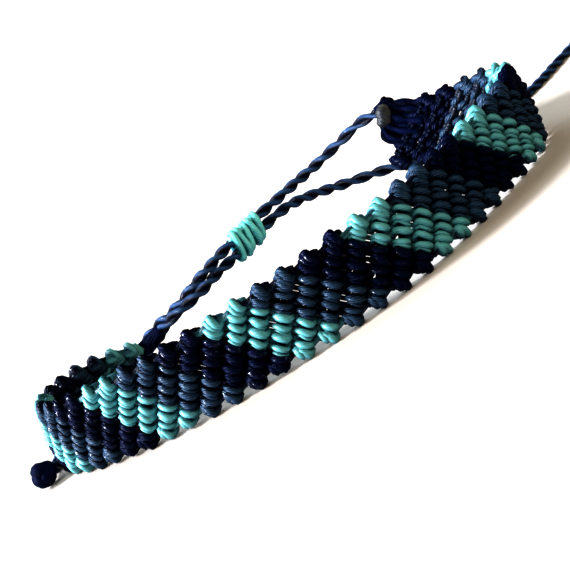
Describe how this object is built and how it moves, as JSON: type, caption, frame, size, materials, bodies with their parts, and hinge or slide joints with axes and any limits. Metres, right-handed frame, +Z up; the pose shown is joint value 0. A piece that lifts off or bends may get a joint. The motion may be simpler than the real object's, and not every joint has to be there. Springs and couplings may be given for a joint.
{
  "type": "friendship bracelet",
  "caption": "Knotted cord bracelet: a band of slanted ribs in an open loop, closed by two twisted cords that run through one sliding knot.",
  "frame": {"origin": "middle of the band's footprint, on the surface that the band's lower edge stands on; the closing cords and what is on them are left out", "axes": "+Z up through the loop, +X along the loop's long way, the outer face of the front to -Y and the closure to +Y"},
  "size_m": [0.1077, 0.0637, 0.0132],
  "materials": {
    "dark_cord": "waxed cord, near-black navy",
    "slate_cord": "waxed cord, dusty slate blue",
    "light_cord": "waxed cord, light turquoise",
    "closing_cord": "waxed two-ply cord, navy"
  },
  "bodies": {
    "root": {"band": "dark_cord", "gather_far": "dark_cord", "gather_near": "dark_cord", "cord_far": "closing_cord", "cord_near": "closing_cord", "sliding_knot": "light_cord", "stopper_far": "dark_cord", "stopper_near": "dark_cord"}
  },
  "joints": []
}
